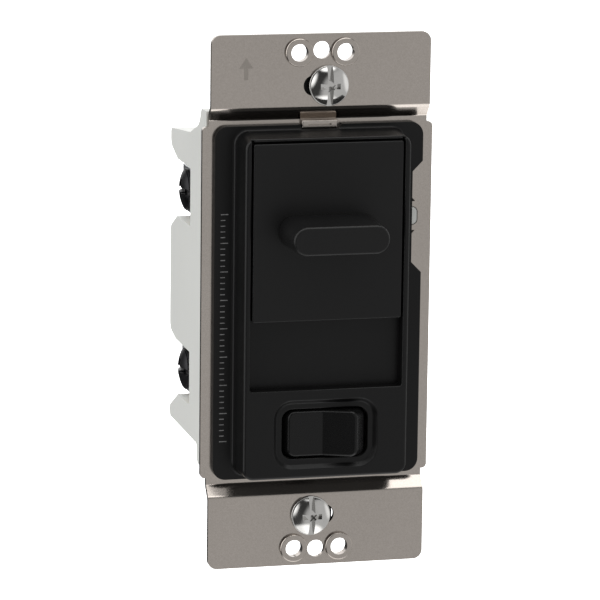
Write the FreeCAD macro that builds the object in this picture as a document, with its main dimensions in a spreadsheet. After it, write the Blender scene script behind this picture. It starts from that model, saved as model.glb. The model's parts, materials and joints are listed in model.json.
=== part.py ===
import FreeCAD, Part

import math
import os
import re

import Sketcher

# Slide dimmer switch on a steel mounting strap, for a single-gang wall box.
# Millimetres. +X is right, +Y runs back into the wall and +Z is up, so the front faces -Y.
# The origin is the middle of the two wall plate screw holes, on the wall plane behind the ears.

DIMENSIONS = {
    # mounting strap: one pressed sheet, with its ears flat on the wall and its middle set back
    "sheet": 1.0,
    "ear_half_width": 21.3,
    "strap_half_height": 51.55,
    "ear_corner": 1.8,
    "ear_fold": 37.5,
    "plate_fold": 35.2,
    "plate_front": 1.1,
    "fold_radius": 0.5,
    "plate_half_width": 22.45,
    "plate_half_height": 34.0,
    "plate_corner": 0.9,
    "plate_screw_spacing": 96.82,
    "ear_hole_radius": 1.65,
    "side_hole_spacing": 8.92,
    "side_hole_rows": 96.06,
    "collar_radius": 2.7,
    "collar_height": 0.8,
    "collar_edge": 0.25,
    "box_screw_spacing": 83.34,
    "slot_half_length": 3.5,
    "slot_half_height": 1.95,
    "slider_window_half": 4.0,
    "slider_window_low": -4.0,
    "slider_window_high": 20.0,
    "rocker_window_half_width": 6.0,
    "rocker_window_half_height": 4.6,
    "snap_window_in": 16.8,
    "snap_window_out": 19.8,
    "snap_window_low": 14.0,
    "snap_window_high": 17.6,
    "snap_window_corner": 1.1,
    "boss_half_width": 3.5,
    "boss_front": -0.15,
    "boss_low": 33.4,
    "boss_high": 35.0,
    "boss_slit_half": 2.25,
    "boss_slit_at": 34.15,
    "rivet_drop": 3.0,
    "rivet_hole": 1.6,
    "rivet_shank": 1.5,
    "rivet_head": 2.6,
    "ground_x": 13.0,
    "ground_depth": 7.0,
    "ground_tab_half": 5.0,
    "ground_tab_top": -33.6,
    "ground_tab_back": 12.0,

    # bezel: black moulding in front of the strap
    "flange_half_width": 20.3,
    "flange_half_height": 34.15,
    "flange_front": -0.2,
    "flange_corner": 2.5,
    "face": -7.5,
    "face_half_width": 16.0,
    "face_half_height": 32.75,
    "face_corner": 2.0,
    "cove": 0.6,
    "rim_round": 0.3,
    "draft": 3.0,
    "notch_in": 18.35,
    "notch_low": 5.0,
    "notch_high": 26.6,
    "notch_chamfer": 2.0,
    "recess_half_width": 14.85,
    "recess_low": -15.5,
    "recess_high": 32.15,
    "recess_floor": -4.9,
    "floor_back": -3.3,
    "cavity_half_width": 14.2,
    "cavity_end": 31.0,
    "rib_low": -17.2,
    "rib_high": -15.9,
    "post_radius": 2.75,
    "post_bore": 1.3,

    # rocker, with its pocket in the bezel
    "rocker_centre": -24.2,
    "pocket_half_width": 10.2,
    "pocket_half_height": 6.7,
    "pocket_corner": 3.7,
    "pocket_depth": 0.75,
    "pocket_slope": 45.0,
    "ledge_back": -5.3,
    "opening_half_width": 8.35,
    "opening_half_height": 4.8,
    "opening_corner": 2.0,
    "rocker_half_height": 4.5,
    "pivot": -3.9,
    "fold_depth": 3.15,
    "paddle_reach": 6.5,
    "paddle_tilt": 10.0,
    "paddle_shoulder": 7.9,
    "paddle_shoulder_front": -6.2,
    "paddle_end": 8.15,
    "paddle_end_front": -4.6,
    "paddle_back": -4.2,
    "trunnion_radius": 1.2,
    "running_gap": 0.05,
    "tower_radius": 2.7,
    "tower_end": 3.0,
    "plunger_radius": 1.5,
    "plunger_tail": 0.5,
    "plunger_tip": 8.38,
    "spring_wire": 0.2,
    "arm_tilt": 6.0,
    "arm_half_length": 7.6,
    "arm_half_height": 2.0,
    "arm_front": 8.6,
    "arm_back": 9.4,
    "contact_at": 6.4,
    "contact_radius": 1.5,

    # slider
    "button_half_width": 14.5,
    "button_low": -2.2,
    "button_high": 31.8,
    "button_back": -5.1,
    "knob_centre": 15.0,
    "knob_half_length": 9.6,
    "knob_half_height": 3.1,
    "knob_front": -18.1,
    "knob_draft": 2.1,
    "post_half_width": 1.6,
    "post_half_height": 2.2,
    "post_end": 1.5,
    "slider_travel": 13.0,

    # rear housing
    "housing_half_width": 21.5,
    "housing_back": 33.4,
    "housing_top": 36.8,
    "lip_back": 6.4,
    "lip_foot": 8.3,
    "lip_drop": 33.4,
    "slope_back": 16.0,
    "slope_drop": 30.7,
    "housing_bottom": -32.6,
    "body_half_height": 28.9,
    "front_depth": 8.5,
    "bay_wall": 17.3,
    "horn_round": 1.8,
    "bay_front": 15.6,
    "upper_bay_low": 12.4,
    "upper_bay_high": 23.75,
    "lower_bay_high": -12.3,
    "lower_bay_low": -22.8,
    "front_cavity_half": 19.2,
    "front_cavity_end": 31.2,
    "deep_cavity_low": -27.7,
    "board_seat": 13.7,
    "rear_cavity_half": 16.0,
    "rear_cavity_end": 21.8,
    "rear_cavity_back": 31.8,

    # screws and terminals
    "box_head_radius": 3.85,
    "box_shank_radius": 1.75,
    "box_neck_radius": 1.5,
    "box_neck_length": 2.0,
    "slot_width": 1.1,
    "terminal_screw_length": 7.5,
    "ground_screw_length": 4.5,
    "box_screw_length": 22.0,
    "terminal_depth": 24.3,
    "upper_terminal": 18.1,
    "lower_terminal": -17.55,
    "terminal_head_radius": 4.1,
    "terminal_seat": 20.0,
    "thread_radius": 1.75,
    "clamp_thick": 0.8,
    "terminal_plate": 0.9,
    "assembly_x": 12.0,
    "assembly_z": 25.6,
    "assembly_radius": 1.25,
    "assembly_head": 2.6,
    "assembly_well": 2.9,
    "assembly_tip": -2.8,
    "assembly_seat": 31.2,

    # electronics
    "board_half_width": 18.9,
    "board_low": -27.4,
    "board_high": 30.8,
    "board_thick": 1.6,
    "pot_front": 5.0,
    "pot_half_width": 4.5,
    "pot_low": -9.0,
    "pot_high": 26.0,
    "pot_wall": 0.6,
    "triac_x": -11.5,
    "triac_low": -16.0,
    "triac_high": -1.0,
    "choke_ring": 6.6,
    "choke_core_radius": 2.9,
    "choke_sleeve": 4.0,
    "choke_height": 9.5,
}

PLANES = {"XY": "XY_Plane", "XZ": "XZ_Plane", "YZ": "YZ_Plane"}
FRONT = FreeCAD.Rotation(FreeCAD.Vector(1, 0, 0), 90)
REAR = FreeCAD.Rotation(FreeCAD.Vector(1, 0, 0), -90)
LEFT = FreeCAD.Rotation(FreeCAD.Vector(0, 1, 0), -90)
RIGHT = FreeCAD.Rotation(FreeCAD.Vector(0, 1, 0), 90)
DOWN = FreeCAD.Rotation(FreeCAD.Vector(1, 0, 0), 180)

doc = FreeCAD.newDocument("slide_dimmer")
sheet = doc.addObject("Spreadsheet::Sheet", "Sizes")
for row, (alias, number) in enumerate(DIMENSIONS.items(), start=1):
    sheet.set(f"A{row}", alias)
    sheet.set(f"B{row}", str(number))
    sheet.setAlias(f"B{row}", alias)
doc.recompute()

pieces = []


def formula(text):
    """Turns the bare names in a size into references to the sheet's cells."""
    def cell(word):
        return "Sizes." + word.group() if word.group() in DIMENSIONS else word.group()
    return re.sub(r"[a-z][a-z_]+", cell, str(text))


def value(text):
    return float(sheet.evalExpression(formula(text)))


# Outlines: each takes sizes as formulas, draws itself into a sketch and ties itself to the sheet.

def tie_point(sketch, geometry, point, across, up):
    """Places a point of a sketch by its two coordinates."""
    for kind, axis, size in (("DistanceX", -2, across), ("DistanceY", -1, up)):
        number = value(size)
        if abs(number) < 1e-9:
            sketch.addConstraint(Sketcher.Constraint("PointOnObject", geometry, point, axis))
            continue
        index = sketch.addConstraint(Sketcher.Constraint(kind, -1, 1, geometry, point, number))
        sketch.setExpression(f"Constraints[{index}]", formula(size))


def tie_radius(sketch, geometry, size):
    index = sketch.addConstraint(Sketcher.Constraint("Radius", geometry, value(size)))
    sketch.setExpression(f"Constraints[{index}]", formula(size))


def polygon(*corners):
    def draw(sketch):
        ends = [FreeCAD.Vector(value(across), value(up), 0) for across, up in corners]
        first = sketch.GeometryCount
        for index, end in enumerate(ends):
            sketch.addGeometry(Part.LineSegment(end, ends[(index + 1) % len(ends)]), False)
        for index, (across, up) in enumerate(corners):
            following = first + (index + 1) % len(corners)
            sketch.addConstraint(Sketcher.Constraint("Coincident", first + index, 2, following, 1))
            tie_point(sketch, first + index, 1, across, up)
    return draw


def rectangle(left, right, low, high):
    return polygon((left, low), (right, low), (right, high), (left, high))


def block(half_width, low, high):
    return rectangle(f"-({half_width})", half_width, low, high)


def circle(across, up, radius):
    def draw(sketch):
        centre = FreeCAD.Vector(value(across), value(up), 0)
        ring = Part.Circle(centre, FreeCAD.Vector(0, 0, 1), value(radius))
        index = sketch.addGeometry(ring, False)
        tie_point(sketch, index, 3, across, up)
        tie_radius(sketch, index, radius)
    return draw


def joined(sketch, first, count):
    """Joins a closed run of alternating lines and arcs smoothly."""
    for index in range(count):
        following = first + (index + 1) % count
        sketch.addConstraint(Sketcher.Constraint("Tangent", first + index, 2, following, 1))


def rounded(left, right, low, high, radius):
    """A rectangle whose four corners are arcs."""
    def draw(sketch):
        reach = value(radius)
        sides = [value(left), value(right), value(low), value(high)]
        centres = [
            (f"({right}) - ({radius})", f"({low}) + ({radius})"),
            (f"({right}) - ({radius})", f"({high}) - ({radius})"),
            (f"({left}) + ({radius})", f"({high}) - ({radius})"),
            (f"({left}) + ({radius})", f"({low}) + ({radius})"),
        ]
        runs = [
            ((sides[0] + reach, sides[2]), (sides[1] - reach, sides[2])),
            ((sides[1], sides[2] + reach), (sides[1], sides[3] - reach)),
            ((sides[1] - reach, sides[3]), (sides[0] + reach, sides[3])),
            ((sides[0], sides[3] - reach), (sides[0], sides[2] + reach)),
        ]
        first = sketch.GeometryCount
        quarter = math.pi / 2
        for index, (start, end) in enumerate(runs):
            sketch.addGeometry(Part.LineSegment(FreeCAD.Vector(*start, 0), FreeCAD.Vector(*end, 0)), False)
            centre = FreeCAD.Vector(value(centres[index][0]), value(centres[index][1]), 0)
            ring = Part.Circle(centre, FreeCAD.Vector(0, 0, 1), reach)
            sketch.addGeometry(Part.ArcOfCircle(ring, (index - 1) * quarter, index * quarter), False)
        joined(sketch, first, 8)
        for index, (across, up) in enumerate(centres):
            tie_point(sketch, first + 2 * index + 1, 3, across, up)
        tie_radius(sketch, first + 1, radius)
    return draw


def stadium(across, up, half_length, half_height):
    """A rounded bar lying along the first axis."""
    def draw(sketch):
        x, y = value(across), value(up)
        reach = value(half_height)
        straight = value(half_length) - reach
        first = sketch.GeometryCount
        quarter = math.pi / 2
        for side in (1, -1):
            start = FreeCAD.Vector(x - side * straight, y - side * reach, 0)
            end = FreeCAD.Vector(x + side * straight, y - side * reach, 0)
            sketch.addGeometry(Part.LineSegment(start, end), False)
            ring = Part.Circle(FreeCAD.Vector(x + side * straight, y, 0), FreeCAD.Vector(0, 0, 1), reach)
            turn = -quarter if side > 0 else quarter
            sketch.addGeometry(Part.ArcOfCircle(ring, turn, turn + 2 * quarter), False)
        joined(sketch, first, 4)
        middle = f"({half_length}) - ({half_height})"
        tie_point(sketch, first + 1, 3, f"({across}) + {middle}", up)
        tie_point(sketch, first + 3, 3, f"({across}) - ({middle})", up)
        tie_radius(sketch, first + 1, half_height)
    return draw


def cap(base, reach, rise):
    """Half the outline of a low dome, for a full turn about the upright axis."""
    def draw(sketch):
        across, foot, height = value(reach), value(base), value(rise)
        radius = (across ** 2 + height ** 2) / (2 * height)
        centre = FreeCAD.Vector(0, foot + height - radius, 0)
        rim = FreeCAD.Vector(across, foot, 0)
        top = FreeCAD.Vector(0, foot + height, 0)
        middle = FreeCAD.Vector(0, foot, 0)
        ring = Part.Circle(centre, FreeCAD.Vector(0, 0, 1), radius)
        start = math.atan2(rim.y - centre.y, rim.x)
        under = sketch.addGeometry(Part.LineSegment(middle, rim), False)
        over = sketch.addGeometry(Part.ArcOfCircle(ring, start, math.pi / 2), False)
        back = sketch.addGeometry(Part.LineSegment(top, middle), False)
        for first, second in ((under, over), (over, back), (back, under)):
            sketch.addConstraint(Sketcher.Constraint("Coincident", first, 2, second, 1))
        sketch.addConstraint(Sketcher.Constraint("PointOnObject", over, 3, -2))
        tie_point(sketch, under, 1, "0", base)
        tie_point(sketch, under, 2, reach, base)
        tie_point(sketch, back, 1, "0", f"({base}) + ({rise})")
    return draw


class Piece:
    """One sub-part, made as a PartDesign body with every size bound to the sheet."""

    def __init__(self, label):
        self.body = doc.addObject("PartDesign::Body", label)
        self.body.Label = label
        pieces.append(self.body)

    def sketch(self, plane, at, outlines):
        role = PLANES[plane]
        support = [feature for feature in self.body.Origin.OriginFeatures if feature.Role == role][0]
        sketch = self.body.newObject("Sketcher::SketchObject", "Outline")
        sketch.AttachmentSupport = [(support, "")]
        sketch.MapMode = "FlatFace"
        # the XZ plane's own normal points to the front, along -Y
        side = "-" if plane == "XZ" else ""
        sketch.setExpression("AttachmentOffset.Base.z", f"{side}({formula(at)})")
        doc.recompute()
        for outline in outlines:
            outline(sketch)
        return sketch

    def extrude(self, kind, plane, start, end, outlines):
        before = self.body.Shape.Volume if self.body.Tip else 0.0
        sketch = self.sketch(plane, start, outlines)
        feature = self.body.newObject(kind, kind.split("::")[1])
        feature.Profile = sketch
        rising = value(end) > value(start)
        low, high = (start, end) if rising else (end, start)
        feature.setExpression("Length", f"({formula(high)}) - ({formula(low)})")
        along_normal = rising != (plane == "XZ")
        feature.Reversed = along_normal if kind == "PartDesign::Pocket" else not along_normal
        doc.recompute()
        grown = self.body.Shape.Volume - before
        if (grown > 0) == (kind == "PartDesign::Pocket") or abs(grown) < 1e-6:
            raise RuntimeError(f"{self.body.Label}: {kind} from {start} to {end} did nothing")
        return feature

    def pad(self, plane, start, end, *outlines, taper=None):
        feature = self.extrude("PartDesign::Pad", plane, start, end, outlines)
        if taper:
            feature.setExpression("TaperAngle", formula(taper))
            doc.recompute()
        return self

    def pocket(self, plane, start, end, *outlines, taper=None):
        feature = self.extrude("PartDesign::Pocket", plane, start, end, outlines)
        if taper:
            feature.setExpression("TaperAngle", formula(taper))
            doc.recompute()
        return self

    def turn(self, outline):
        """A full turn about the piece's own Z of an outline drawn in its XZ plane."""
        sketch = self.sketch("XZ", "0", [outline])
        feature = self.body.newObject("PartDesign::Revolution", "Revolution")
        feature.Profile = sketch
        feature.ReferenceAxis = (sketch, ["V_Axis"])
        feature.Angle = 360
        doc.recompute()
        return self

    def edges(self, chosen):
        names = []
        for index, edge in enumerate(self.body.Tip.Shape.Edges, start=1):
            if chosen(edge):
                names.append(f"Edge{index}")
        if not names:
            raise RuntimeError(f"{self.body.Label}: no edge matches")
        return names

    def soften(self, kind, size, chosen):
        base = self.body.Tip
        names = self.edges(chosen)
        feature = self.body.newObject(kind, kind.split("::")[1])
        feature.Base = (base, names)
        feature.setExpression("Radius" if kind.endswith("Fillet") else "Size", formula(size))
        doc.recompute()
        return self

    def fillet(self, size, chosen):
        return self.soften("PartDesign::Fillet", size, chosen)

    def chamfer(self, size, chosen):
        return self.soften("PartDesign::Chamfer", size, chosen)

    def place(self, x="0", y="0", z="0", turn=None):
        self.body.Placement.Rotation = turn or FreeCAD.Rotation()
        for axis, size in (("x", x), ("y", y), ("z", z)):
            self.body.setExpression(f"Placement.Base.{axis}", formula(size))
        doc.recompute()
        return self


# Edge choices, for the fillets and chamfers.

def runs_along(edge, axis):
    if edge.Curve.TypeId != "Part::GeomLine":
        return False
    return abs(abs(edge.tangentAt(edge.FirstParameter).dot(FreeCAD.Vector(*axis))) - 1) < 1e-6


def straight_at(axis, *spots):
    """Straight edges along an axis that pass through given spots in the plane across it."""
    keep = [index for index in range(3) if not axis[index]]
    targets = [[value(size) for size in spot] for spot in spots]

    def chosen(edge):
        if not runs_along(edge, axis):
            return False
        middle = edge.CenterOfMass
        here = [middle[index] for index in keep]
        return any(abs(here[0] - spot[0]) + abs(here[1] - spot[1]) < 1e-3 for spot in targets)
    return chosen


def lying_at(axis, size, box=None):
    """Edges that lie wholly in the plane where one coordinate has a given value."""
    index = "XYZ".index(axis)
    level = value(size)

    def chosen(edge):
        limits = edge.BoundBox
        low = (limits.XMin, limits.YMin, limits.ZMin)[index]
        high = (limits.XMax, limits.YMax, limits.ZMax)[index]
        if abs(low - level) > 1e-3 or abs(high - level) > 1e-3:
            return False
        return box is None or box(edge.CenterOfMass)
    return chosen


X_AXIS = (1, 0, 0)
Y_AXIS = (0, 1, 0)
Z_AXIS = (0, 0, 1)


def mounting_strap():
    strap = Piece("mounting_strap")
    shift = "sheet * tan(atan((plate_front + sheet) / (ear_fold - plate_fold)) / 2)"
    front = [("-sheet", "strap_half_height"), ("-sheet", "ear_fold"), ("plate_front", "plate_fold")]
    back = [("plate_front + sheet", f"plate_fold + {shift}"), ("0", f"ear_fold + {shift}"),
            ("0", "strap_half_height")]
    lower_front = [(depth, f"-({height})") for depth, height in reversed(front)]
    lower_back = [(depth, f"-({height})") for depth, height in reversed(back)]
    strap.pad("YZ", "-plate_half_width", "plate_half_width",
              polygon(*front, *lower_front, *lower_back, *back))
    # the ears and the jogs are a little narrower than the middle
    for side in (1, -1):
        for end in (1, -1):
            corner = rectangle(f"{side} * ear_half_width", f"{side} * (plate_half_width + 1)",
                               f"{end} * plate_half_height", f"{end} * (strap_half_height + 1)")
            strap.pocket("XZ", "-2 * sheet", "plate_front + 2 * sheet", corner)
    inner = [("-sheet", "ear_fold"), ("plate_front + sheet", f"plate_fold + {shift}")]
    outer = [("0", f"ear_fold + {shift}"), ("plate_front", "plate_fold")]
    for size, folds in (("fold_radius + sheet", inner), ("fold_radius", outer)):
        mirrored = [(depth, f"-({height})") for depth, height in folds]
        strap.fillet(size, straight_at(X_AXIS, *folds, *mirrored))
    corners = [(f"{side} * ear_half_width", f"{end} * strap_half_height")
               for side in (1, -1) for end in (1, -1)]
    strap.fillet("ear_corner", straight_at(Y_AXIS, *corners))
    corners = [(f"{side} * plate_half_width", f"{end} * plate_half_height")
               for side in (1, -1) for end in (1, -1)]
    strap.fillet("plate_corner", straight_at(Y_AXIS, *corners))
    for end in (1, -1):
        side_holes = [(f"{side} * side_hole_spacing / 2", f"{end} * side_hole_rows / 2") for side in (1, -1)]
        strap.pad("XZ", "-sheet", "-sheet - collar_height",
                  *[circle(x, z, "collar_radius") for x, z in side_holes])
        strap.fillet("collar_edge", lambda edge: edge.Curve.TypeId == "Part::GeomCircle"
                     and abs(edge.Curve.Radius - value("collar_radius")) < 1e-6
                     and edge.CenterOfMass.y < value("-sheet - 0.5 * collar_height"))
        holes = side_holes + [("0", f"{end} * plate_screw_spacing / 2")]
        strap.pocket("XZ", "-sheet - 1", "1",
                     *[circle(x, z, "ear_hole_radius") for x, z in holes],
                     stadium("0", f"{end} * box_screw_spacing / 2", "slot_half_length", "slot_half_height"))
    # windows for the slider, the rocker, the housing's snap tabs and the assembly screws
    windows = [block("slider_window_half", "slider_window_low", "slider_window_high"),
               block("rocker_window_half_width", "rocker_centre - rocker_window_half_height",
                     "rocker_centre + rocker_window_half_height"),
               circle("triac_x", "triac_high - rivet_drop", "rivet_hole")]
    for side in (1, -1):
        windows.append(rounded(*sorted([f"{side} * snap_window_in", f"{side} * snap_window_out"], key=value),
                               "snap_window_low", "snap_window_high", "snap_window_corner"))
        # a small three-cornered window above the tab's and one below it
        tip, root = f"{side} * (snap_window_out - 0.5)", f"{side} * (snap_window_in + 0.6)"
        windows.append(polygon((tip, "snap_window_high + 1"), (root, "snap_window_high + 1"),
                               (root, "snap_window_high + 3.2")))
        windows.append(polygon((tip, "snap_window_low - 1"), (root, "snap_window_low - 1"),
                               (root, "snap_window_low - 3.2")))
        for end in (1, -1):
            windows.append(circle(f"{side} * assembly_x", f"{end} * assembly_z", "assembly_radius + 0.3"))
    strap.pocket("XZ", "plate_front - 1", "plate_front + sheet + 1", *windows)
    # a slit boss at the top fills the notch in the bezel's flange and hooks its edge
    strap.pad("XZ", "plate_front + 0.4", "boss_front",
              rectangle("-boss_half_width", "boss_half_width", "boss_low", "boss_high"))
    strap.fillet("0.3", lying_at("Y", "boss_front"))
    strap.pocket("XZ", "boss_front - 0.5", "boss_front + 0.7",
                 rectangle("-boss_slit_half", "boss_slit_half", "boss_slit_at - 0.15", "boss_slit_at + 0.15"))
    # the ground tab is bent straight back below the housing
    strap.pad("XY", "ground_tab_top - sheet", "ground_tab_top",
              rectangle("ground_x - ground_tab_half", "ground_x + ground_tab_half",
                        "plate_front + 0.2", "ground_tab_back"))
    strap.pocket("XY", "ground_tab_top - 3", "ground_tab_top + 1",
                 circle("ground_x", "ground_depth", "thread_radius + running_gap"))
    strap.fillet("2", straight_at(Z_AXIS, ("ground_x - ground_tab_half", "ground_tab_back"),
                                  ("ground_x + ground_tab_half", "ground_tab_back")))


def bezel_frame():
    bezel = Piece("bezel_frame")
    grow = "(flange_front - face) * tan(draft)"
    bezel.pad("XZ", "plate_front", "flange_front",
              rounded("-flange_half_width", "flange_half_width",
                      "-flange_half_height", "flange_half_height", "flange_corner"))
    bezel.pad("XZ", "flange_front", "face",
              rounded(f"-(face_half_width + {grow})", f"face_half_width + {grow}",
                      f"-(face_half_height + {grow})", f"face_half_height + {grow}",
                      f"face_corner + {grow}"), taper="-draft")
    bezel.fillet("0.6", lying_at("Y", "face"))
    # the cove where the raised body meets its flange
    bezel.fillet("cove", lying_at("Y", "flange_front",
                                 lambda spot: abs(spot.x) < value("face_half_width + 1")
                                 and abs(spot.z) < value("face_half_height + 0.6")))
    bezel.pocket("XZ", "face", "recess_floor",
                 rounded("-recess_half_width", "recess_half_width", "recess_low", "recess_high", "0.5"))
    bezel.fillet("rim_round", lying_at("Y", "face", lambda spot:
                                       abs(spot.x) < value("recess_half_width + 0.1")
                                       and value("recess_low - 0.1") < spot.z < value("recess_high + 0.1")))
    bezel.pocket("XZ", "face", "face + pocket_depth",
                 rounded("-pocket_half_width", "pocket_half_width", "rocker_centre - pocket_half_height",
                         "rocker_centre + pocket_half_height", "pocket_corner"), taper="-pocket_slope")
    bezel.fillet("0.4", lying_at("Y", "face + pocket_depth"))
    bezel.fillet("0.3", lying_at("Y", "face", lambda spot: spot.z < value("recess_low - 1")
                                 and abs(spot.x) < value("pocket_half_width + 0.5")
                                 and spot.z > value("rocker_centre - pocket_half_height - 0.5")))
    bezel.pocket("XZ", "plate_front", "floor_back",
                 block("cavity_half_width", "rib_high", "cavity_end"))
    bezel.pocket("XZ", "plate_front", "ledge_back",
                 block("cavity_half_width", "-cavity_end", "rib_low"))
    bezel.pocket("XZ", "face", "ledge_back + 1",
                 rounded("-opening_half_width", "opening_half_width", "rocker_centre - opening_half_height",
                         "rocker_centre + opening_half_height", "opening_corner"))
    bezel.fillet("0.25", lying_at("Y", "face + pocket_depth",
                                  lambda spot: abs(spot.x) < value("opening_half_width + 0.2")
                                  and abs(spot.z - value("rocker_centre")) < value("opening_half_height + 0.2")))
    bezel.pocket("XZ", "face", "floor_back + 1",
                 block("post_half_width + 0.2", "knob_centre - slider_travel - post_half_height - 0.3",
                       "knob_centre + post_half_height + 0.3"))
    # bearings for the rocker's trunnions
    bearings = [("rocker_centre + opening_half_height + 0.2", "rib_low"),
                ("-cavity_end", "rocker_centre - opening_half_height - 0.2")]
    for low, high in bearings:
        bezel.pad("XZ", "ledge_back", "pivot + trunnion_radius + 0.9", block("2.6", low, high))
    bezel.pocket("XY", "-cavity_end + 0.2", "rib_low",
                 circle("0", "pivot", "trunnion_radius + running_gap"))
    # posts that take the assembly screws
    spots = [(f"{side} * assembly_x", f"{end} * assembly_z") for side in (1, -1) for end in (1, -1)]
    for end, floor in ((1, "floor_back"), (-1, "ledge_back")):
        here = [spot for spot in spots if value(spot[1]) * end > 0]
        bezel.pad("XZ", floor, "plate_front", *[circle(x, z, "post_radius") for x, z in here])
    bezel.pocket("XZ", "plate_front", "assembly_tip - 0.2",
                 *[circle(x, z, "post_bore") for x, z in spots])
    # the flange is cut away on the right, and at the top for the strap's boss
    bezel.pocket("XZ", "flange_front - 0.2", "plate_front",
                 polygon(("flange_half_width + 1", "notch_low - 0.9"), ("flange_half_width + 1", "notch_high + 0.9"),
                         ("flange_half_width", "notch_high"), ("notch_in", "notch_high - notch_chamfer"),
                         ("notch_in", "notch_low + notch_chamfer"), ("flange_half_width", "notch_low")))
    bezel.pocket("XZ", "flange_front - 1.1", "plate_front",
                 polygon(("-boss_half_width - 0.15", "flange_half_height + 1"),
                         ("-boss_half_width - 0.15", "boss_low - 0.1"),
                         ("boss_half_width + 0.15", "boss_low - 0.1"),
                         ("boss_half_width + 0.8", "boss_low + 0.6"),
                         ("boss_half_width + 0.8", "flange_half_height + 1")))


def rear_housing():
    housing = Piece("rear_housing")
    front = "plate_front + sheet"
    housing.pad("YZ", "-housing_half_width", "housing_half_width",
                polygon((front, "housing_top"), ("lip_back", "housing_top"), ("lip_foot", "lip_drop"),
                        ("slope_back", "slope_drop"),
                        ("housing_back", "body_half_height"), ("housing_back", "-body_half_height"),
                        ("front_depth", "-body_half_height"), ("front_depth", "housing_bottom"),
                        (front, "housing_bottom")))
    housing.fillet("5", straight_at(X_AXIS, ("lip_foot", "lip_drop")))
    housing.fillet("1.2", straight_at(X_AXIS, ("lip_back", "housing_top"),
                                      ("front_depth", "-body_half_height"),
                                      ("front_depth", "housing_bottom"), ("housing_back", "body_half_height"),
                                      ("housing_back", "-body_half_height")))
    # terminal bays on both sides, open to the side and to the rear
    beyond = "housing_back + 2"
    upper = polygon(("bay_front", "upper_bay_low"), ("bay_front", "upper_bay_high"),
                    ("housing_back - 6", "upper_bay_high"), ("housing_back", "upper_bay_high + 2"),
                    (beyond, "upper_bay_high + 2.6"), (beyond, "upper_bay_low - 3.8"),
                    ("housing_back", "upper_bay_low - 3"), ("housing_back - 6", "upper_bay_low"))
    lower = polygon(("bay_front", "lower_bay_high"), ("housing_back - 5", "lower_bay_high"),
                    ("housing_back", "lower_bay_high + 1.2"), (beyond, "lower_bay_high + 1.6"),
                    (beyond, "lower_bay_low - 5"), ("housing_back", "lower_bay_low - 4"),
                    ("housing_back - 8", "lower_bay_low"), ("bay_front", "lower_bay_low"))
    for side in (1, -1):
        housing.pocket("YZ", f"{side} * (housing_half_width + 1)", f"{side} * bay_wall", upper, lower)
    # the horns between the bays' mouths are rounded
    housing.fillet("horn_round", straight_at(X_AXIS, ("housing_back", "upper_bay_high + 2"),
                                             ("housing_back", "upper_bay_low - 3"),
                                             ("housing_back", "lower_bay_high + 1.2")))
    housing.fillet("0.6 * horn_round", straight_at(X_AXIS, ("housing_back", "lower_bay_low - 4")))
    housing.fillet("horn_round", straight_at(X_AXIS, ("housing_back - 6", "upper_bay_low"),
                                             ("housing_back - 8", "lower_bay_low")))
    housing.pocket("XZ", front, "front_depth - 1.3",
                   rounded("-front_cavity_half", "front_cavity_half",
                           "-front_cavity_end", "front_cavity_end", "1"))
    housing.pocket("XZ", "front_depth - 1.3", "board_seat",
                   rounded("-front_cavity_half", "front_cavity_half",
                           "deep_cavity_low", "front_cavity_end", "1"))
    housing.pocket("XZ", "board_seat", "rear_cavity_back",
                   block("rear_cavity_half", "-rear_cavity_end", "rear_cavity_end"))
    for end in (1, -1):
        housing.pocket("XZ", "board_seat", "rear_cavity_back",
                       block("8", *sorted([f"{end} * rear_cavity_end", f"{end} * 27"], key=value)))
    # lugs behind the strap's small windows, and snap tabs that reach through the middle ones
    lugs = [rectangle(*sorted([f"{side} * (snap_window_in + 0.3)", f"{side} * (front_cavity_half + 0.2)"],
                              key=value), "snap_window_low - 4", "snap_window_high + 4") for side in (1, -1)]
    housing.pad("XZ", "front_depth - 1.3", front, *lugs)
    tabs = [rounded(*sorted([f"{side} * (snap_window_in + 0.6)", f"{side} * (snap_window_out - 0.15)"],
                            key=value), "snap_window_low + 0.15", "snap_window_high - 0.15",
                    "snap_window_corner - 0.15") for side in (1, -1)]
    housing.pad("XZ", "board_seat - board_thick - 0.4", "plate_front", *tabs)
    # screw holes, their counterbores and the relief over the ground screw
    spots = [(f"{side} * assembly_x", f"{end} * assembly_z") for side in (1, -1) for end in (1, -1)]
    housing.pocket("XZ", "board_seat - 2", "housing_back + 1",
                   *[circle(x, z, "assembly_radius + 0.2") for x, z in spots])
    housing.pocket("XZ", "assembly_seat", "housing_back + 1",
                   *[circle(x, z, "assembly_well") for x, z in spots])
    housing.pocket("XY", "housing_bottom - 1", "housing_bottom + 5",
                   circle("ground_x", "ground_depth", "2.3"))
    # each terminal's screw hole and the slot for its tongue
    for side, height in terminals().values():
        housing.pocket("YZ", f"{side} * (bay_wall + 1)", f"{side} * (rear_cavity_half - 1)",
                       circle("terminal_depth", height, "thread_radius + 0.35"),
                       rectangle("bay_front + 1.4", "bay_front + 2.6", f"{height} - 2.3", f"{height} + 2.3"))


def terminals():
    """Each terminal's side of the housing and its height."""
    return {"left_upper": (-1, "upper_terminal"), "left_lower": (-1, "lower_terminal"),
            "right_lower": (1, "lower_terminal")}


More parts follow.
